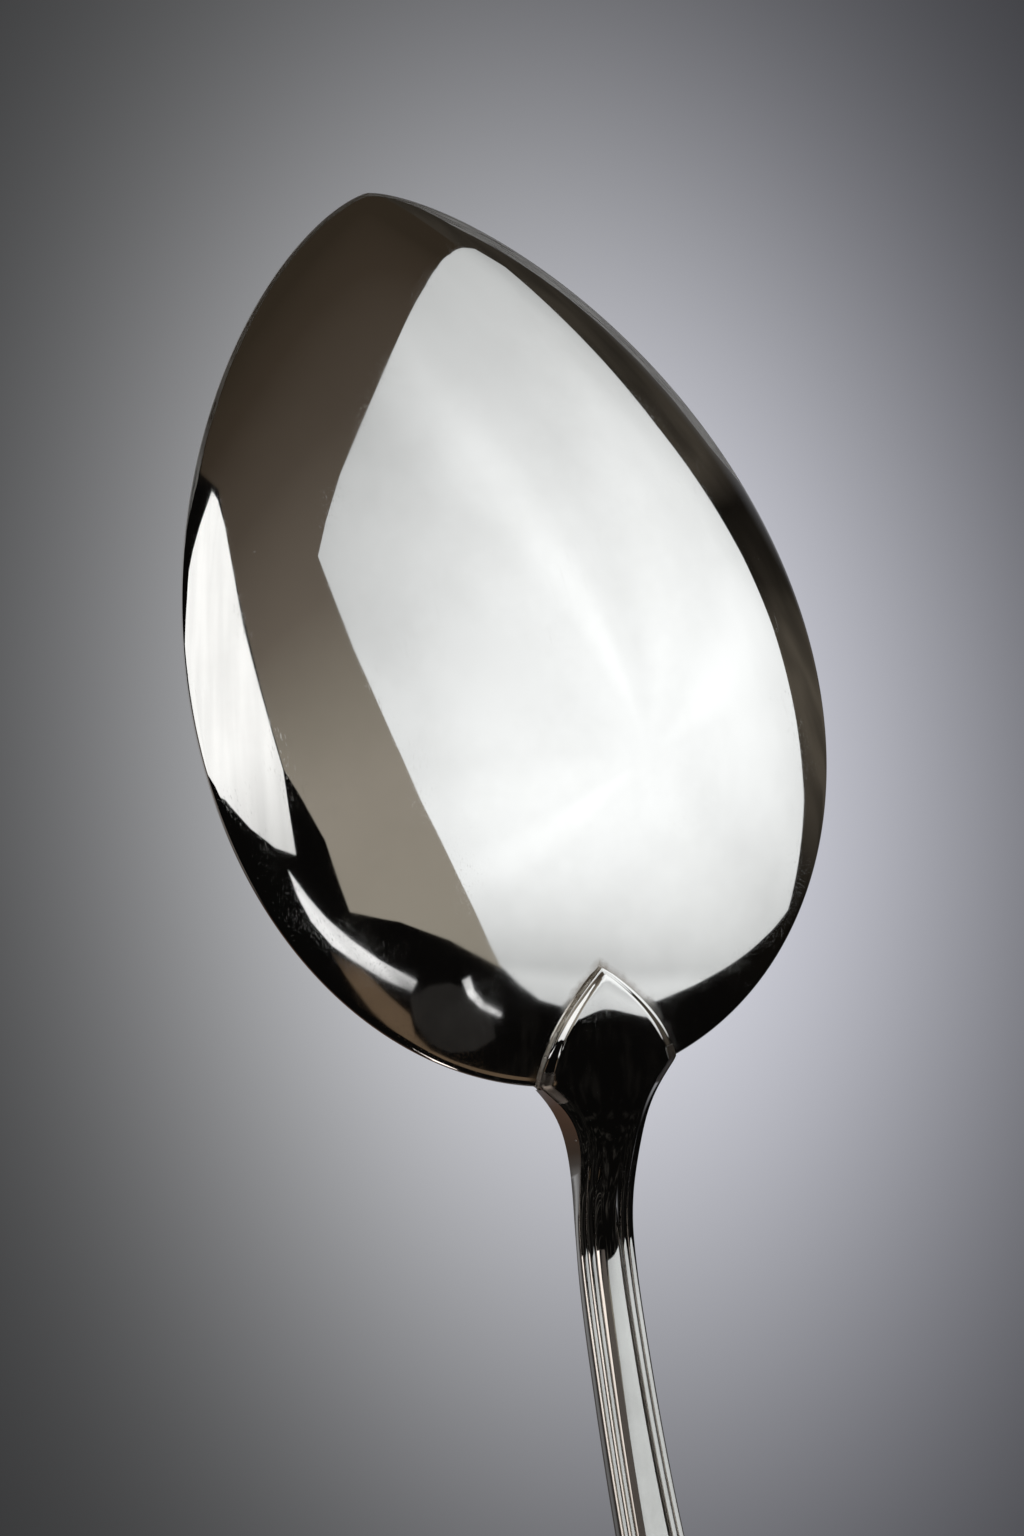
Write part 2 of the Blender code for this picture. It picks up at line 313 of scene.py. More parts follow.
BROWN_TINT = (1.0, 0.85, 0.66)
DARKNESS = (0.0022, 0.002, 0.0018, 1)
SWEEP_GREY = (0.24, 0.24, 0.255, 1)
DUSK = (0.13, 0.112, 0.1, 1)
GLINT = (0.05, 0.046, 0.04, 1)

# Soft spot of light on the backdrop behind the spoon: place, fall-off, and levels in it and round it
SPOT_RIGHT = 0.0128
SPOT_UP = -0.0018
SPOT_FALL_ACROSS = 180.0
SPOT_FALL_UP = 75.6
SPOT_FALL_SLANT = 24.6
SPOT_LEVEL = 0.728
BACKDROP_LEVEL = 0.032
BACKDROP_LEFT = (0.985, 0.995, 1.025, 1)
BACKDROP_RIGHT = (0.955, 0.965, 1.08, 1)


def smooth(value):
    value = min(max(value, 0.0), 1.0)
    return value * value * (3 - 2 * value)


def mix(first, second, share):
    return tuple(a + (b - a) * share for a, b in zip(first, second))


# Bowl


def rim_half_width(share):
    share = min(max(share, 0.0), 1.0)
    return OUTLINE_SCALE * share**TIP_POWER * math.sqrt(1 - share)


def bowl_back(x, y):
    """Height of the bowl's back. The worn flat under the belly, 0.06 mm deep, is left out."""
    share = max((TIP_X - x) / BOWL_LENGTH, 1e-4)
    along = 2 * share - 1
    belly = RIM_END * along * along
    rise = 4 * BOWL_DEPTH / OUTLINE_SCALE**2 * share ** (1 - 2 * TIP_POWER) * y * y
    middle = max(4 * share * (1 - share), 0.0)
    across = min(abs(y) / max(rim_half_width(share), 1e-6), 1.0) if middle else 0.0
    return belly + rise * (1 - FULLNESS * middle**2 * (1 - across * across)) - BELLY_FLAT


def back_normal(x, y, step=2e-5):
    """The outward normal of the bowl's back, which faces down."""
    slope_x = (bowl_back(x + step, y) - bowl_back(x - step, y)) / (2 * step)
    slope_y = (bowl_back(x, y + step) - bowl_back(x, y - step)) / (2 * step)
    return Vector((slope_x, slope_y, -1.0)).normalized()


def rim_frames():
    """At each station round the rim: its point, the normal of the back and the way out across the edge."""
    points = []
    for step in range(BOWL_SIDES):
        turn = 2 * math.pi * step / BOWL_SIDES
        share = (1 - math.cos(turn)) / 2
        side = 1 if turn <= math.pi else -1
        x = TIP_X - BOWL_LENGTH * share
        y = side * rim_half_width(share)
        points.append(Vector((x, y, bowl_back(x, y))))
    middle = Vector((TIP_X - BOWL_LENGTH / 2, 0, 0))
    frames = []
    for step, point in enumerate(points):
        tangent = points[(step + 1) % BOWL_SIDES] - points[step - 1]
        inside = point.lerp(middle, 0.004)
        normal = back_normal(inside.x, inside.y)
        out = tangent.cross(normal).normalized()
        if out.dot(point - middle) < 0:
            out.negate()
        frames.append((point, normal, out))
    return frames


def worn_width(station):
    """Width of the band that scraping has worn along the edge, beside the tip and wider on the +Y side."""
    turn = 2 * math.pi * station / BOWL_SIDES
    share = (1 - math.cos(turn)) / 2
    if turn <= math.pi:
        tip = WEAR_TIP_SHARE + (1 - WEAR_TIP_SHARE) * smooth(share / WEAR_TIP_FADE)
        return WEAR_WIDE * smooth((WEAR_WIDE_END - share) / WEAR_WIDE_FADE) * tip
    return WEAR_NARROW * smooth((WEAR_NARROW_END - share) / WEAR_NARROW_FADE)


def make_bowl():
    """The bowl's back, its rounded lip and its hollow, as rings from the belly round the rim and back."""
    radius = LIP_RADIUS
    middle = (TIP_X - BOWL_LENGTH / 2, 0.0)
    frames = rim_frames()
    rings = []
    marks = []
    ends = [point - out * radius for point, _, out in frames]
    wear = [worn_width(step) for step in range(BOWL_SIDES)]
    along = [0.0]
    for step in range(1, BOWL_SIDES):
        along.append(along[-1] + (ends[step] - ends[step - 1]).length)
    for ring in range(1, BOWL_RINGS + 1):
        share = ring / BOWL_RINGS
        row = []
        for end in ends:
            x = middle[0] + (end.x - middle[0]) * share
            y = end.y * share
            row.append(Vector((x, y, bowl_back(x, y))))
        rings.append(row)
        for step, (point, _, out) in enumerate(frames):
            marks.append((max((point - row[step]).dot(out), 0.0), wear[step], along[step]))
    backs = list(rings)
    for step in range(1, LIP_ROWS):
        turn = math.pi * step / LIP_ROWS
        outer = turn < math.pi / 2
        reach = radius * math.sin(turn)
        rise = radius - (radius if outer else BOWL_WALL - radius) * math.cos(turn)
        rings.append([end + out * reach - normal * rise for end, (_, normal, out) in zip(ends, frames)])
        marks += [(radius - reach, width * outer, place) for width, place in zip(wear, along)]
    for row in reversed(backs):
        rings.append([point - back_normal(point.x, point.y) * BOWL_WALL for point in row])
        marks += [(BOWL_WIDTH, 0.0, place) for place in along]
    bottom = Vector((*middle, bowl_back(*middle)))
    verts = [bottom] + [point for row in rings for point in row] + [bottom + Vector((0, 0, BOWL_WALL))]
    last = len(verts) - 1
    faces = []
    for step in range(BOWL_SIDES):
        after = (step + 1) % BOWL_SIDES
        faces.append((0, 1 + step, 1 + after))
        start = 1 + (len(rings) - 1) * BOWL_SIDES
        faces.append((last, start + after, start + step))
        for ring in range(len(rings) - 1):
            low = 1 + ring * BOWL_SIDES
            high = low + BOWL_SIDES
            faces.append((low + step, high + step, high + after, low + after))
    bowl = make_mesh("bowl_shell", verts, faces)
    centre = (BOWL_WIDTH, 0.0, 0.0)
    mark = bowl.data.attributes.new("rim", "FLOAT_VECTOR", "POINT")
    mark.data.foreach_set("vector", [value for place in [centre, *marks, centre] for value in place])
    return bowl


# Stem


def rim_bend(y):
    """How far the rim beside the middle lies nearer to the tip than the rim at the root."""
    return BOWL_LENGTH * (y / OUTLINE_SCALE) ** 2


def root_fade(run):
    return math.exp(-run / NECK_FLARE) if run > 0 else 1 + run / HEEL_LENGTH


def heel_half_width(run):
    return HEEL_WIDTH / 2 * (1 - min(max(-run / HEEL_LENGTH, 0.0), 1.0) ** HEEL_POWER)


def stem_half_width(run):
    if run <= 0:
        return heel_half_width(run)
    neck = NECK_WIDTH / 2
    flare = (HEEL_WIDTH / 2 - neck) * math.exp(-run / NECK_FLARE)
    widest = HANDLE_LENGTH - END_ROUND
    widen = (HANDLE_WIDTH / 2 - neck) * min(run / widest, 1.0) ** WIDEN_POWER
    past = min(max((run - widest) / END_ROUND, 0.0), 1.0)
    return (neck + flare + widen) * math.sqrt(1 - past * past)


def thickness(run):
    neck = (NECK_THICKNESS - HANDLE_THICKNESS) * math.exp(-((run / THIN_SPAN) ** 2))
    past = min(max((run - HANDLE_LENGTH) / (HANDLE_THICKNESS / 2) + 1, 0.0), 1.0)
    return (HANDLE_THICKNESS + neck) * math.sqrt(1 - CLOSE_SHARE * past * past)


def hermite(run, start, end):
    span = end[0] - start[0]
    t = (run - start[0]) / span
    height = (
        (2 * t**3 - 3 * t**2 + 1) * start[1]
        + (t**3 - 2 * t**2 + t) * span * start[2]
        + (3 * t**2 - 2 * t**3) * end[1]
        + (t**3 - t**2) * span * end[2]
    )
    slope = (
        (6 * t**2 - 6 * t) * (start[1] - end[1]) / span
        + (3 * t**2 - 4 * t + 1) * start[2]
        + (3 * t**2 - 2 * t) * end[2]
    )
    return height, slope


def centre_line(run):
    root = RIM_END + (BOWL_WALL - STACK - HEEL_HEIGHT) / 2
    level = HANDLE_THICKNESS / 2 + PANEL_CROWN - BELLY_FLAT
    stations = (
        (0.0, root, ROOT_SLOPE),
        (NECK_REACH, root + NECK_RISE, NECK_SLOPE),
        (SHOULDER_REACH, root + SHOULDER_RISE, SHOULDER_SLOPE),
        (ARCH_REACH, root + ARCH_RISE, 0.0),
        (HANDLE_LENGTH - END_LEVEL, level, 0.0),
    )
    for start, end in zip(stations, stations[1:]):
        if run <= end[0]:
            return hermite(run, start, end)
    return level, 0.0


def thread_relief(inset, panel_share):
    outer = OUTER_THREAD / THREAD_BAND
    if inset < outer:
        bump = (inset - outer / 2) / (outer / 2)
        return -THREAD_GROOVE * (1 - math.sqrt(max(1 - bump * bump, 0.0)))
    if inset < 1:
        bump = (inset - (1 + outer) / 2) / ((1 - outer) / 2)
        return -THREAD_GROOVE * (1 - math.sqrt(max(1 - bump * bump, 0.0)))
    shoulder = smooth((inset - 1) * THREAD_BAND / PANEL_SHOULDER)
    return -THREAD_GROOVE * (1 - shoulder) + PANEL_CROWN * shoulder * (1 - panel_share**2)


def shoulder_fall(inset):
    if inset < 1:
        return SHOULDER_SHARE + (1 - SHOULDER_SHARE) * (1 - inset)
    climb = min((inset - 1) * THREAD_BAND / PANEL_SHOULDER, 1.0)
    return SHOULDER_SHARE * (1 - climb**SHOULDER_POWER)


def face_columns():
    """Columns of half a face, from the middle to the edge, closer together beside the grooves."""
    outer = OUTER_THREAD / THREAD_BAND
    panel = [(math.sin(math.pi / 2 * step / PANEL_COLUMNS), None) for step in range(PANEL_COLUMNS + 1)]
    wide = PANEL_SHOULDER / THREAD_BAND
    shoulder = [(1.0, 1 + wide * step / SHOULDER_COLUMNS) for step in range(SHOULDER_COLUMNS - 1, 0, -1)]
    rounds = [(1 - math.cos(math.pi * step / INNER_COLUMNS)) / 2 for step in range(INNER_COLUMNS + 1)]
    inner = [(1.0, 1 - (1 - outer) * step) for step in rounds]
    rounds = [(1 - math.cos(math.pi * step / OUTER_COLUMNS)) / 2 for step in range(1, OUTER_COLUMNS + 1)]
    rim = [(1.0, outer * (1 - step)) for step in rounds]
    return panel + shoulder + inner + rim


def stem_point(run, column, columns):
    """A point of the stem's skin, and its tarnish, with painted shade in the heel's notch. Columns run from
    back to front.
    """
    last = len(columns)
    front = column > last
    share, inset = columns[2 * last - column if front else min(column, last - 1)]
    near_root = root_fade(run)
    half = stem_half_width(run)
    if run <= 0:
        half = heel_half_width(run - rim_bend(half) * near_root)
    band = min(1.0, half / (NECK_WIDTH / 2))
    panel = half - EDGE_BAND * band
    y = panel * share if inset is None else half - inset * THREAD_BAND * band
    inset = (half - y) / (THREAD_BAND * band) if band else 0.0
    x = ROOT_X - run + rim_bend(y) * near_root
    seat = bowl_back(x, y) - STACK
    bevel = smooth((half - y) / HEEL_BEVEL) if half else 0.0
    height = (HEEL_EDGE + (HEEL_HEIGHT - HEEL_EDGE) * bevel) * smooth(half / HEEL_BEVEL)
    height *= 1 - HEEL_DOME * min(run / HEEL_LENGTH, 0.0) ** 2
    height *= 1 - HEEL_CROWN * (y / half) ** 2 if half else 1
    middle, slope = centre_line(max(run, 0.0))
    struck = smooth((run - THREAD_START) / THREAD_FADE)
    closing = smooth((HANDLE_LENGTH - run) / HANDLE_THICKNESS)
    carve = thread_relief(inset, share) * struck * closing
    fall = max(thickness(run) - EDGE_THICKNESS, 0.0) / 2 * smooth(run / NECK_SPAN)
    relief = carve - shoulder_fall(inset) * fall
    swell = (thickness(run) / 2 + relief) if column != last else 0.0
    tilt = math.atan(slope) * smooth(run / NECK_SPAN)
    side = 1 if front else -1
    lean = LIP_LEAN * near_root if front else 0.0
    if front:
        swell -= ROOT_DROP * near_root
    along = x + lean - side * swell * math.sin(tilt)
    handle = (along, y, middle + side * swell * math.cos(tilt))
    if front:
        point = handle if run > STEP else (x, y, seat)
    else:
        heel = (x, y, seat - (height / 2 if column == last else height))
        point = mix(heel, handle, smooth(run / NECK_SPAN))
    depth = max(-carve, 0.0) / THREAD_GROOVE if column != last else 0.0
    if inset > 1:
        depth **= FOOT_POWER
    # Tarnish and painted shade in the notch where the heel's bevel meets the rim
    notch_shade = smooth((run + NOTCH_SHADE_REACH) / NOTCH_FADE) * smooth((NOTCH_SHADE_REACH - run) / NOTCH_FADE)
    notch_shade *= 1 - smooth((half - y - HEEL_BEVEL / 2) / HEEL_BEVEL)
    return point, max(depth, notch_shade) if column < last else depth


def stem_runs():
    """The stations along the stem: negative on the heel, 0 at the rim, then along the handle."""
    runs = [-HEEL_LENGTH * (1 - step / HEEL_ROWS) ** ROW_POWER for step in range(HEEL_ROWS)]
    runs += [0.0, STEP, STEP + SEAT_GAP]
    widest = HANDLE_LENGTH - END_ROUND
    for rows, end in ((NECK_ROWS, SHOULDER_REACH), (HANDLE_ROWS, widest)):
        start = runs[-1]
        runs += [start + (end - start) * step / rows for step in range(1, rows + 1)]
    turns = [math.pi / 2 * step / END_ROWS for step in range(1, END_ROWS + 1)]
    return runs + [widest + END_ROUND * math.sin(turn) for turn in turns]


def make_stem():
    runs = stem_runs()
    columns = face_columns()
    count = 2 * len(columns)
    verts = []
    marks = []
    for run in runs:
        half = [stem_point(run, column, columns) for column in range(count + 1)]
        for point, depth in half:
            verts.append(point)
            marks.append(depth)
        for point, depth in half[count - 1 : 0 : -1]:
            verts.append((point[0], -point[1], point[2]))
            marks.append(depth)
    loop = 2 * count
    faces = []
    for row in range(len(runs) - 1):
        for step in range(loop):
            after = (step + 1) % loop
            low = row * loop
            high = low + loop
            faces.append((low + step, low + after, high + after, high + step))
    stem = make_mesh("stem_forging", verts, faces)
    # Depth of the grooves for tarnish, and tarnish with painted shade in the heel's notch
    mark = stem.data.attributes.new("groove_and_notch_shade", "FLOAT", "POINT")
    mark.data.foreach_set("value", marks)
    return stem


# Solder


def heel_film():
    """The solder under the heel: it fills the gap and ends in a hollow fillet round the heel's edge."""
    rows = FILM_ROWS
    columns = FILM_COLUMNS
    verts = []
    for top in (True, False):
        for row in range(rows + 1):
            run = -(HEEL_LENGTH + FILLET_SINK) * (1 - row / rows) ** ROW_POWER
            bend = rim_bend(heel_half_width(run)) * max(root_fade(run), 0.0)
            inner = heel_half_width(run - bend)
            grown = math.sqrt(min(1.0, END_TAPER * row / rows))
            edge = heel_half_width(run - bend + FILLET) + FILLET * grown
            for step in range(columns + 1):
                y = edge * math.sin(math.pi / 2 * (2 * step / columns - 1))
                x = ROOT_X - run + rim_bend(y) * max(root_fade(run), 0.0)
                out = min(max((abs(y) - inner) / FILLET, 0.0), 1.0)
                sink = FILLET_SINK if top else -(STACK + FILLET_SINK) * (1 - out) ** 2
                verts.append((x, y, bowl_back(x, y) + sink))
    wide = columns + 1
    under = (rows + 1) * wide
    faces = []
    for row in range(rows):
        for step in range(columns):
            corner = row * wide + step
            ring = (corner, corner + 1, corner + wide + 1, corner + wide)
            faces.append(ring)
            faces.append(tuple(under + ring[place] for place in (0, 3, 2, 1)))
    border = list(range(wide))
    border += [row * wide + columns for row in range(1, rows + 1)]
    border += [rows * wide + step for step in range(columns - 1, -1, -1)]
    border += [row * wide for row in range(rows - 1, 0, -1)]
    for here, after in zip(border, border[1:] + border[:1]):
        faces.append((here, under + here, under + after, after))
    return verts, faces


def rim_bead():
    """The solder across the front, in the joint between the rim and the end of the neck."""
    half = HEEL_WIDTH / 2
    verts = []
    for station in range(BEAD_STATIONS + 1):
        y = half * (2 * station / BEAD_STATIONS - 1)
        end = smooth(END_TAPER * (1 - abs(y) / half))
        x = ROOT_X + rim_bend(y)
        base = bowl_back(x + MM / 100, y)
        wide = BEAD_TAPER + (1 - BEAD_TAPER) * end
        for reach, rise in BEAD_SECTION:
            out = BEAD_REACH + (reach - BEAD_REACH) * wide
            up = BEAD_RISE + (rise - BEAD_RISE) * end
            verts.append((x + out * MM, y, base + up * MM))
    count = len(BEAD_SECTION)
    faces = [tuple(range(count)), tuple(BEAD_STATIONS * count + step for step in range(count))]
    for station in range(BEAD_STATIONS):
        for step in range(count):
            after = (step + 1) % count
            low = station * count
            faces.append((low + step, low + after, low + count + after, low + count + step))
    return verts, faces


def make_solder():
    verts, faces = heel_film()
    more, others = rim_bead()
    start = len(verts)
    faces = faces + [tuple(start + corner for corner in face) for face in others]
    return make_mesh("solder_fillet", verts + more, faces)


# Blender objects


def make_mesh(name, verts, faces):
    mesh = bpy.data.meshes.new(name)
    mesh.from_pydata(verts, [], faces)
    mesh.update()
    obj = bpy.data.objects.new(name, mesh)
    bpy.context.scene.collection.objects.link(obj)
    return obj


def finish_mesh(obj, crease):
    """Welds points that meet, turns all faces outwards and keeps edges sharper than the crease."""
    work = bmesh.new()
    work.from_mesh(obj.data)
    bmesh.ops.remove_doubles(work, verts=work.verts, dist=WELD)
    bmesh.ops.dissolve_degenerate(work, edges=work.edges, dist=SLIVER)
    bmesh.ops.recalc_face_normals(work, faces=work.faces)
    work.to_mesh(obj.data)
    work.free()
    obj.data.shade_smooth()
    obj.data.set_sharp_from_angle(angle=math.radians(crease))


class Graph:
    """Adds nodes to a node tree and joins them."""

    def __init__(self, tree):
        self.tree = tree
        tree.nodes.clear()

    def node(self, kind, inputs=None, **settings):
        made = self.tree.nodes.new(kind)
        for name, value in settings.items():
            setattr(made, name, value)
        for key, value in (inputs or {}).items():
            if isinstance(value, bpy.types.NodeSocket):
                self.link(value, made, key)
            else:
                made.inputs[key].default_value = value
        return made

    def link(self, output, node, key):
        self.tree.links.new(output, node.inputs[key])

    def math(self, operation, first, second=0.0):
        return self.node("ShaderNodeMath", {0: first, 1: second}, operation=operation).outputs[0]

    def plus(self, base, value, factor):
        """The base and so much of the value."""
        return self.math("ADD", base, self.math("MULTIPLY", value, factor))

    def vector(self, operation, first, second):
        return self.node("ShaderNodeVectorMath", {0: first, 1: second}, operation=operation)

    def dot(self, first, second):
        return self.vector("DOT_PRODUCT", first, second).outputs["Value"]

    def split(self, vector):
        return self.node("ShaderNodeSeparateXYZ", {0: vector}).outputs

    def share(self, value, low, high):
        """0 at the low end and 1 at the high end, along a straight line."""
        inputs = {"Value": value, "From Min": low, "From Max": high}
        return self.node("ShaderNodeMapRange", inputs).outputs[0]

    def ramp(self, value, low, high, start=0.0, end=1.0):
        inputs = {"Value": value, "From Min": low, "From Max": high, "To Min": start, "To Max": end}
        return self.node("ShaderNodeMapRange", inputs, interpolation_type="SMOOTHSTEP").outputs[0]

    def noise(self, where, scale, detail=2.0, roughness=0.5):
        inputs = {"Vector": where, "Scale": scale, "Detail": detail, "Roughness": roughness}
        return self.node("ShaderNodeTexNoise", inputs).outputs[0]

    def blend(self, share, first, second):
        return self.node("ShaderNodeMix", {0: share, 6: first, 7: second}, data_type="RGBA").outputs[2]

    def colours(self, value, stops):
        made = self.node("ShaderNodeValToRGB", {0: value})
        ramp = made.color_ramp
        while len(ramp.elements) < len(stops):
            ramp.elements.new(1.0)
        for element, (place, colour) in zip(ramp.elements, stops):
            element.position = place
            element.color = (*colour, 1.0)
        return made.outputs[0]

    def came_up(self):
        """1 for what has come up through the floor, or else 0."""
        depth = self.node("ShaderNodeLightPath").outputs["Transparent Depth"]
        return self.math("GREATER_THAN", depth, THROUGH)


def new_material(name):
    material = bpy.data.materials.new(name)
    material.use_nodes = True
    return material, Graph(material.node_tree)


def metal(graph, colour, rough, bump):
    inputs = {"Base Color": colour, "Metallic": 1.0, "Roughness": rough, "Normal": bump}
    shader = graph.node("ShaderNodeBsdfPrincipled", inputs)
    graph.node("ShaderNodeOutputMaterial", {0: shader.outputs[0]})


def scratches(graph, where, angle, length, width, start):
    """Hairlines that run one way: noise drawn out along them, cut to its peaks."""
    turn = (0, 0, math.radians(angle))
    scale = (1 / length, 1 / width, 1 / width)
    turned = graph.node("ShaderNodeMapping", {"Vector": where, "Rotation": turn, "Scale": scale}).outputs[0]
    return graph.ramp(graph.noise(turned, 1.0, 2.0, 0.6), start, start + 0.08)


def heel_halo(graph, where):
    """Fades from the heel's outline over the bowl's back: 1 beside the joint, 0 a little way off."""
    x, y, _ = graph.split(where)
    past = graph.math("MAXIMUM", graph.math("SUBTRACT", x, ROOT_X), 0.0)
    along = graph.math("DIVIDE", past, HEEL_LENGTH)
    outline = graph.math("SUBTRACT", 1.0, graph.math("POWER", along, HEEL_POWER))
    half = graph.math("MULTIPLY", outline, HEEL_WIDTH / 2)
    away = graph.math("SUBTRACT", graph.math("ABSOLUTE", y), half)
    ragged = graph.ramp(graph.noise(where, 900.0, 3.0), 0.3, 0.7, -0.25 * MM, 0.25 * MM)
    away = graph.math("ADD", away, ragged)
    facing = graph.node("ShaderNodeNewGeometry").outputs["Normal"]
    under = graph.ramp(graph.split(facing)[2], 0.0, -0.2)
    return graph.math("MULTIPLY", graph.ramp(away, 1.5 * MM, 0.1 * MM), under)


def silver(name, mark):
    """Polished silver: haze, hairlines, faint waves, specks, and a finish of its own where marked, some of
    it painted shade.
    """
    material, graph = new_material(name)
    where = graph.node("ShaderNodeTexCoord").outputs["Object"]
    haze = graph.ramp(graph.noise(where, 70.0, 5.0, 0.62), 0.35, 0.75)
    patches = graph.ramp(graph.noise(where, 160.0, 2.0), 0.45, 0.65)
    lines = scratches(graph, where, 24, 9 * MM, 0.09 * MM, 0.66)
    for ways in ((-38, 6 * MM, 0.07 * MM, 0.67), (81, 12 * MM, 0.08 * MM, 0.68)):
        lines = graph.math("MAXIMUM", lines, scratches(graph, where, *ways))
    lines = graph.math("MULTIPLY", lines, patches)
    cells = graph.node("ShaderNodeTexVoronoi", {"Vector": where, "Scale": 260.0}, feature="F1")
    dots = graph.ramp(cells.outputs["Distance"], 0.035, 0.02)
    chance = graph.node("ShaderNodeSeparateColor", {0: cells.outputs["Color"]}).outputs[0]
    specks = graph.math("MULTIPLY", dots, graph.ramp(chance, 0.86, 0.9))
    colour = graph.blend(haze, SILVER_BRIGHT, SILVER_DULL)
    colour = graph.blend(graph.math("MULTIPLY", lines, 0.4), colour, SCRATCH_GREY)
    rough = graph.ramp(haze, 0.0, 1.0, 0.02, 0.05)
    rough = graph.plus(rough, lines, 0.1)
    rough = graph.plus(rough, specks, 0.5)
    height = graph.plus(graph.noise(where, 110.0, 2.0), lines, -0.12)
    if mark == "groove_and_notch_shade":
        depth = graph.node("ShaderNodeAttribute", attribute_name="groove_and_notch_shade").outputs["Fac"]
        x = graph.split(where)[0]
        held = graph.ramp(x, HELD_FROM, HELD_FULL)
        grey = graph.plus(graph.ramp(x, HELD_FULL, HELD_GREYEST, 0.0, 0.5), haze, 0.5)
        colour = graph.blend(held, colour, graph.blend(grey, HELD_PALE, HELD_GREY))
        rough = graph.plus(rough, held, 0.05)
        cover = graph.ramp(haze, 0.0, 1.0, 0.8, 1.0)
        # Tarnish in the grooves, and tarnish with painted shade in the heel's notch
        tarnish_and_shade = graph.math("MULTIPLY", graph.ramp(depth, 0.28, 0.68), cover)
        colour = graph.blend(tarnish_and_shade, colour, TARNISH_AND_SHADE)
        rough = graph.plus(rough, tarnish_and_shade, 0.3)
    if mark == "rim":
        # Darker and browner round the heel's outline on the bowl's back
        cover = graph.ramp(haze, 0.0, 1.0, 0.5, 0.85)
        halo = graph.math("MULTIPLY", heel_halo(graph, where), cover)
        colour = graph.blend(halo, colour, HEEL_HALO_BROWN)
        rough = graph.plus(rough, halo, 0.12)
        place = graph.node("ShaderNodeAttribute", attribute_name="rim").outputs["Vector"]
        edge, wear, along = graph.split(place)
        ragged = graph.node("ShaderNodeCombineXYZ", {0: graph.math("MULTIPLY", along, 300.0)}).outputs[0]
        edge = graph.math("ADD", edge, graph.ramp(graph.noise(ragged, 1.0), 0.3, 0.7, 0.0, 0.08 * MM))
        worn = graph.ramp(graph.math("SUBTRACT", wear, edge), 0.0, 0.1 * MM)
        across = graph.math("MULTIPLY", edge, 1 / (0.07 * MM))
        along = graph.math("MULTIPLY", along, 1 / (5 * MM))
        grain = graph.node("ShaderNodeCombineXYZ", {0: across, 1: along}).outputs[0]
        streaks = graph.noise(grain, 1.0, 3.0, 0.6)
        rough = graph.plus(rough, worn, graph.ramp(streaks, 0.3, 0.7, 0.2, 0.36))
        shine = graph.blend(graph.ramp(streaks, 0.35, 0.65), WORN_DARK, WORN_BRIGHT)
        colour = graph.blend(worn, colour, shine)
        scraped = graph.math("MULTIPLY", worn, graph.math("ADD", streaks, 1.5))
        height = graph.math("SUBTRACT", height, scraped)
    bump = graph.node("ShaderNodeBump", {"Strength": 1.0, "Distance": 4e-6, "Height": height}).outputs[0]
    metal(graph, colour, rough, bump)
    return material


def solder(name):
    """Satin hard solder, a little yellow, with grains and pits."""
    material, graph = new_material(name)
    where = graph.node("ShaderNodeTexCoord").outputs["Object"]
    grains = graph.noise(where, 2600.0, 4.0, 0.6)
    stains = graph.ramp(graph.noise(where, 420.0, 3.0), 0.4, 0.65)
    colour = graph.blend(stains, SOLDER_PALE, SOLDER_STAIN)
    bump = graph.node("ShaderNodeBump", {"Strength": 0.6, "Distance": 4e-5, "Height": grains}).outputs[0]
    rough = graph.ramp(grains, 0.3, 0.7, 0.24, 0.42)
    metal(graph, colour, rough, bump)
    return material


def dress(piece, material, node):
    piece.data.materials.append(material)
    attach(piece, "root")
    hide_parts(node)


# Studio


def floor_material():
    """Pale paper from above; from below, and for what has come through it, it isn't there."""
    material, graph = new_material("pale_floor")
    where = graph.node("ShaderNodeTexCoord").outputs["Object"]
    grain = graph.noise(where, 900.0, 4.0)
    tone = graph.ramp(graph.noise(where, 3.0, 2.0), 0.3, 0.7)
    colour = graph.blend(tone, PAPER_DARK, PAPER_PALE)
    bump = graph.node("ShaderNodeBump", {"Strength": 0.15, "Distance": 2e-5, "Height": grain}).outputs[0]
    inputs = {"Base Color": colour, "Roughness": 0.7, "Normal": bump}
    paper = graph.node("ShaderNodeBsdfPrincipled", inputs)
    haze = graph.node("ShaderNodeEmission", {"Color": (*PALE, 1)})
    away = graph.vector("LENGTH", where, (0, 0, 0)).outputs["Value"]
    path = graph.node("ShaderNodeLightPath")
    seen = graph.math("MAXIMUM", path.outputs["Is Camera Ray"], path.outputs["Is Glossy Ray"])
    seen = graph.math("MAXIMUM", seen, path.outputs["Is Transmission Ray"])
    share = graph.math("MULTIPLY", graph.ramp(away, 0.1, 0.9, 0.4, 1.0), seen)
    paper = graph.node("ShaderNodeMixShader", {0: share, 1: paper.outputs[0], 2: haze.outputs[0]})
    clear = graph.node("ShaderNodeBsdfTransparent")
    behind = graph.node("ShaderNodeNewGeometry").outputs["Backfacing"]
    share = graph.math("MAXIMUM", behind, graph.came_up())
    both = graph.node("ShaderNodeMixShader", {0: share, 1: paper.outputs[0], 2: clear.outputs[0]})
    graph.node("ShaderNodeOutputMaterial", {0: both.outputs[0]})
    material.cycles.emission_sampling = "NONE"
    return material


def make_floor():
    """Three sheets, so that what has come up through the floor differs from what has passed two cards."""
    size = FLOOR_HALF
    corners = [(-size, -size), (size, -size), (size, size), (-size, size)]
    verts = [(x, y, height) for height in FLOOR_SHEETS for x, y in corners]
    faces = [tuple(range(start, start + 4)) for start in range(0, len(verts), 4)]
    floor = make_mesh("floor", verts, faces)
    floor.data.materials.append(floor_material())


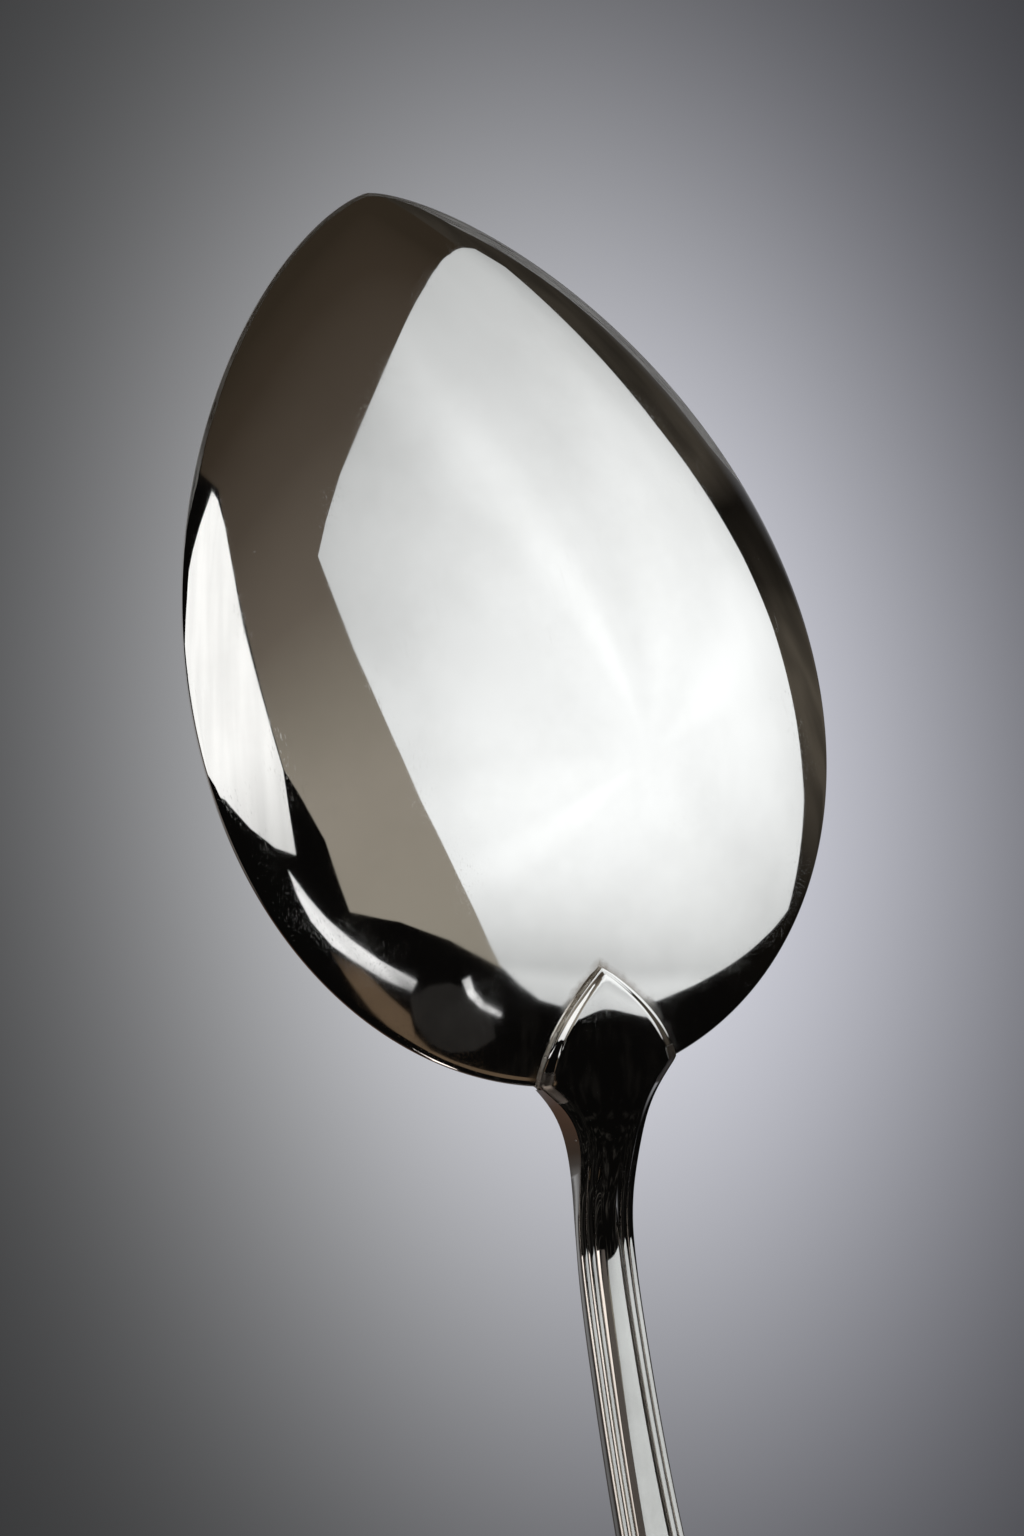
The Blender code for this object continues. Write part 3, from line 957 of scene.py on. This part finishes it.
def make_card(name, origin, across, up, outline, paint):
    """A flat card of light that only reflections seen from below the floor show. Its outline is in mm."""
    origin, across, up = Vector(origin), Vector(across), Vector(up)
    verts = [origin + across * (u * MM) + up * (v * MM) for u, v in outline]
    card = make_mesh(name, verts, [tuple(range(len(verts)))])
    material, graph = new_material(name)
    glow = graph.node("ShaderNodeEmission")
    paint(graph, graph.node("ShaderNodeNewGeometry").outputs["Position"], glow)
    clear = graph.node("ShaderNodeBsdfTransparent")
    shown = graph.came_up()
    both = graph.node("ShaderNodeMixShader", {0: shown, 1: clear.outputs[0], 2: glow.outputs[0]})
    graph.node("ShaderNodeOutputMaterial", {0: both.outputs[0]})
    material.cycles.emission_sampling = "NONE"
    card.data.materials.append(material)
    card.visible_camera = False
    card.visible_diffuse = False
    card.visible_shadow = False


def paint_main(graph, where, glow):
    """A softbox, brightest near its middle, with soft rays along the ribs of its cloth and faint clouds."""
    across, up = HOT_PLACE
    hot = Vector(PANEL_ORIGIN) + Vector(PANEL_ACROSS) * across + Vector(PANEL_UP) * up
    away = graph.vector("SUBTRACT", where, tuple(hot)).outputs["Vector"]
    u = graph.dot(away, PANEL_ACROSS)
    v = graph.dot(away, PANEL_UP)
    narrow = graph.math("MULTIPLY", graph.math("GREATER_THAN", u, 0.0), MAIN_FALL_RIGHT)
    narrow = graph.math("ADD", narrow, MAIN_FALL_ACROSS)
    fall = graph.math("MULTIPLY", graph.math("MULTIPLY", u, u), narrow)
    fall = graph.plus(fall, graph.math("MULTIPLY", v, v), MAIN_FALL_UP)
    level = graph.math("EXPONENT", graph.math("MULTIPLY", fall, -1.0))
    level = graph.math("MULTIPLY", level, MAIN_LEVEL)
    flat = graph.node("ShaderNodeCombineXYZ", {0: u, 1: v}).outputs[0]
    far = graph.vector("LENGTH", flat, (0, 0, 0)).outputs["Value"]
    share = graph.share(graph.math("ARCTAN2", v, u), -math.pi, math.pi)
    stops = [((turn + math.pi) / (2 * math.pi), (tone,) * 3) for turn, tone in RAYS]
    rays = graph.colours(share, stops)
    rays.node.color_ramp.interpolation = "EASE"
    rays = graph.math("MULTIPLY", graph.math("SUBTRACT", rays, 0.5), graph.ramp(far, 0.0, 0.22))
    rays = graph.math("MULTIPLY", rays, graph.ramp(far, 1.0, 0.5))
    cloud = graph.ramp(graph.noise(where, 3.0, 3.0, 0.5), 0.3, 0.7, -0.03, 0.03)
    level = graph.math("ADD", graph.math("ADD", level, rays), cloud)
    level = graph.math("ADD", level, graph.ramp(u, 0.56, 0.66, 0.0, MAIN_EDGE))
    graph.link(level, glow, "Strength")
    glow.inputs["Color"].default_value = MAIN_TINT


def paint_left(graph, where, glow):
    """A second softbox, with faint folds along it."""
    x, y, _ = graph.split(where)
    level = graph.ramp(x, -0.2, 0.2, 0.62, 1.03)
    flat = graph.node("ShaderNodeCombineXYZ", {0: x, 1: graph.math("MULTIPLY", y, 7.0)}).outputs[0]
    folds = graph.ramp(graph.noise(flat, 1.6, 2.0), 0.35, 0.65, -0.07, 0.03)
    graph.link(graph.math("ADD", level, folds), glow, "Strength")
    glow.inputs["Color"].default_value = LEFT_TINT


def paint_streak(graph, where, glow):
    """A bright strip, the edge of a lit window, fainter towards its end."""
    x, y, _ = graph.split(where)
    along = graph.node("ShaderNodeCombineXYZ", {0: graph.math("ADD", x, y)}).outputs[0]
    bands = graph.ramp(graph.noise(along, 9.0), 0.35, 0.65, -0.2, 0.1)
    level = graph.math("ADD", graph.ramp(x, -0.68, -0.52, 0.35, 0.95), bands)
    graph.link(level, glow, "Strength")


def paint_brown(graph, where, glow):
    """Brown, darker at the near end."""
    x = graph.split(where)[0]
    cloud = graph.noise(where, 7.0, 3.0)
    colour = graph.blend(cloud, (0.085, 0.058, 0.035, 1), (0.12, 0.081, 0.051, 1))
    graph.link(colour, glow, "Color")
    graph.link(graph.ramp(x, -0.5, -0.6, 0.3, 1.0), glow, "Strength")


def paint_stool(graph, where, glow):
    """Nearly black, with faint clouds."""
    cloud = graph.noise(where, 9.0, 3.0)
    colour = graph.blend(cloud, (0.009, 0.0085, 0.008, 1), (0.024, 0.0225, 0.0205, 1))
    graph.link(colour, glow, "Color")


def paint_flag(graph, where, glow):
    """Black cloth close to the neck, with a few threads that catch light."""
    drawn = graph.node("ShaderNodeMapping", {"Vector": where, "Scale": (0.12, 1, 1)}).outputs[0]
    threads = graph.ramp(graph.noise(drawn, 2600.0, 3.0), 0.52, 0.72)
    colour = graph.blend(threads, (0.0026, 0.0024, 0.0022, 1), (0.055, 0.05, 0.043, 1))
    graph.link(colour, glow, "Color")


def paint_hook(graph, where, glow):
    """A bent bar, bright in places."""
    level = graph.ramp(graph.noise(where, 14.0), 0.35, 0.65, 0.2, 0.9)
    graph.link(level, glow, "Strength")


def paint_lath(graph, where, glow):
    """A warm lath close beside the handle, which lights the sides of the threads."""
    height = graph.split(where)[2]
    graph.link(graph.ramp(height, 20 * MM, 17 * MM, 0.0, 1.5), glow, "Strength")
    colour = graph.blend(graph.noise(where, 60.0), (1.0, 0.93, 0.88, 1), (1.0, 0.87, 0.78, 1))
    graph.link(colour, glow, "Color")


def paint_room(graph, where, glow):
    """The room behind the softboxes: beige near the camera, dark brown far off."""
    share = graph.share(graph.split(where)[0], -0.67, 3.33)
    graph.link(graph.colours(share, CARD_STOPS), glow, "Color")


def upper_studio(graph, way):
    """Above the floor: pale walls, darker higher up, and a paler ceiling."""
    return graph.colours(graph.share(graph.split(way)[2], -0.1, 1.0), WALL_STOPS)


def lower_studio(graph, way):
    """Below the floor: a dark room, and behind the spoon a grey backdrop with one soft spot of light."""
    look = (Vector(TARGET) - Vector(EYE)).normalized()
    up = Vector(UP)
    right = look.cross(up)
    ahead = graph.dot(way, tuple(look))
    front = graph.math("MAXIMUM", ahead, 0.05)
    u = graph.math("DIVIDE", graph.dot(way, tuple(right)), front)
    v = graph.math("DIVIDE", graph.dot(way, tuple(up)), front)
    side = graph.math("SUBTRACT", u, SPOT_RIGHT)
    rise = graph.math("SUBTRACT", v, SPOT_UP)
    fall = graph.math("MULTIPLY", graph.math("MULTIPLY", side, side), SPOT_FALL_ACROSS)
    fall = graph.plus(fall, graph.math("MULTIPLY", rise, rise), SPOT_FALL_UP)
    fall = graph.plus(fall, graph.math("MULTIPLY", side, rise), SPOT_FALL_SLANT)
    spot = graph.math("EXPONENT", graph.math("MULTIPLY", fall, -1.0))
    level = graph.math("ADD", graph.math("MULTIPLY", spot, SPOT_LEVEL), BACKDROP_LEVEL)
    tint = graph.blend(graph.ramp(u, -0.08, 0.1), BACKDROP_LEFT, BACKDROP_RIGHT)
    grey = graph.vector("SCALE", tint, (0, 0, 0))
    graph.link(level, grey, "Scale")
    x, y, z = graph.split(way)
    stops = [(place, [tone * part for part in BROWN_TINT]) for place, tone in BROWN_TONES]
    brown = graph.colours(graph.share(x, -0.4, 1.0), stops)
    brown = graph.vector("SCALE", brown, (0, 0, 0))
    blotch = graph.ramp(graph.noise(way, 7.0, 2.0), 0.35, 0.65, 0.75, 1.2)
    graph.link(blotch, brown, "Scale")
    lit = graph.ramp(graph.math("ADD", y, x), 0.1, 0.6)
    room = graph.blend(lit, DARKNESS, brown.outputs["Vector"])
    warm = graph.colours(graph.share(x, -0.4, 0.1), WARM_STOPS)
    sweep = graph.blend(graph.ramp(y, -0.2, 0.6), warm, SWEEP_GREY)
    room = graph.blend(graph.ramp(z, 0.22, 0.5), room, sweep)
    room = graph.blend(graph.ramp(y, -0.92, -0.97), room, DUSK)
    drawn = graph.node("ShaderNodeMapping", {"Vector": way, "Scale": (3, 11, 5)}).outputs[0]
    glints = graph.ramp(graph.noise(drawn, 3.0, 3.0), 0.5, 0.74, 0.0, 0.45)
    glints = graph.math("MULTIPLY", glints, graph.ramp(x, -0.74, -0.96, 0.15, 1.0))
    glints = graph.math("MULTIPLY", glints, graph.ramp(x, -0.6, -0.74))
    room = graph.blend(glints, room, GLINT)
    return graph.blend(graph.ramp(ahead, 0.85, 0.95), room, grey.outputs["Vector"])


def make_world():
    world = bpy.data.worlds.new("studio")
    bpy.context.scene.world = world
    world.use_nodes = True
    graph = Graph(world.node_tree)
    way = graph.node("ShaderNodeTexCoord").outputs["Generated"]
    colour = graph.blend(graph.came_up(), upper_studio(graph, way), lower_studio(graph, way))
    shade = graph.node("ShaderNodeBackground", {"Color": colour, "Strength": 1.0})
    graph.node("ShaderNodeOutputWorld", {0: shade.outputs[0]})


def make_lamp(name, place, size, power):
    """A softbox that faces the spoon. The camera and what has come up through the floor don't see it."""
    lamp = bpy.data.lights.new(name, "AREA")
    lamp.shape = "RECTANGLE"
    lamp.size, lamp.size_y = size
    lamp.energy = power
    lamp.use_nodes = True
    graph = Graph(lamp.node_tree)
    above = graph.math("SUBTRACT", 1.0, graph.came_up())
    glow = graph.node("ShaderNodeEmission", {"Strength": above})
    graph.node("ShaderNodeOutputLight", {0: glow.outputs[0]})
    obj = bpy.data.objects.new(name, lamp)
    obj.location = place
    obj.rotation_euler = (-Vector(place)).to_track_quat("-Z", "Y").to_euler()
    obj.visible_camera = False
    bpy.context.scene.collection.objects.link(obj)


def make_camera():
    lens = bpy.data.cameras.new("photograph")
    lens.sensor_fit = "VERTICAL"
    lens.sensor_height = SENSOR
    lens.lens = SENSOR * LENS_PER_HEIGHT
    lens.clip_start = 0.01
    camera = bpy.data.objects.new("photograph", lens)
    bpy.context.scene.collection.objects.link(camera)
    look = (Vector(TARGET) - Vector(EYE)).normalized()
    right = look.cross(Vector(UP)).normalized()
    up = right.cross(look)
    turn = Matrix((right, up, -look)).transposed().to_4x4()
    camera.matrix_world = Matrix.Translation(EYE) @ turn
    bpy.context.scene.camera = camera


def make_studio():
    make_floor()
    make_card("main_softbox", PANEL_ORIGIN, PANEL_ACROSS, PANEL_UP, MAIN_OUTLINE, paint_main)
    make_card("left_softbox", (0, 0, -0.7), FLAT_X, FLAT_Y, LEFT_OUTLINE, paint_left)
    make_card("room_card", (0, 0, -1.0), FLAT_X, FLAT_Y, ROOM_OUTLINE, paint_room)
    make_card("window_streak", (0, 0, -0.9), FLAT_X, FLAT_Y, STREAK_OUTLINE, paint_streak)
    make_card("brown_board", (0, 0, -0.9), FLAT_X, FLAT_Y, BROWN_OUTLINE, paint_brown)
    make_card("dark_stool", (0, 0, -0.89), FLAT_X, FLAT_Y, STOOL_OUTLINE, paint_stool)
    make_card("bright_hook", (0, 0, -0.88), FLAT_X, FLAT_Y, HOOK_OUTLINE, paint_hook)
    make_card("warm_lath", (0, -0.025, 0), FLAT_X, UPRIGHT, LATH_OUTLINE, paint_lath)
    make_card("side_flag", (0, -0.004, 0), FLAT_X, UPRIGHT, SIDE_FLAG_OUTLINE, paint_flag)
    make_card("low_flag", (0, 0, 0.017), FLAT_X, FLAT_Y, LOW_FLAG_OUTLINE, paint_flag)
    make_world()
    for lamp in LAMPS:
        make_lamp(*lamp)


def main():
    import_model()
    bowl = make_bowl()
    finish_mesh(bowl, BOWL_CREASE)
    dress(bowl, silver("bowl_silver_polished", "rim"), "bowl")
    stem = make_stem()
    finish_mesh(stem, STEM_CREASE)
    dress(stem, silver("stem_silver_polished", "groove_and_notch_shade"), "stem")
    seam = make_solder()
    finish_mesh(seam, SOLDER_CREASE)
    dress(seam, solder("solder_satin"), "solder_seam")
    make_studio()
    make_camera()
    bpy.context.scene.view_settings.view_transform = "Standard"


main()
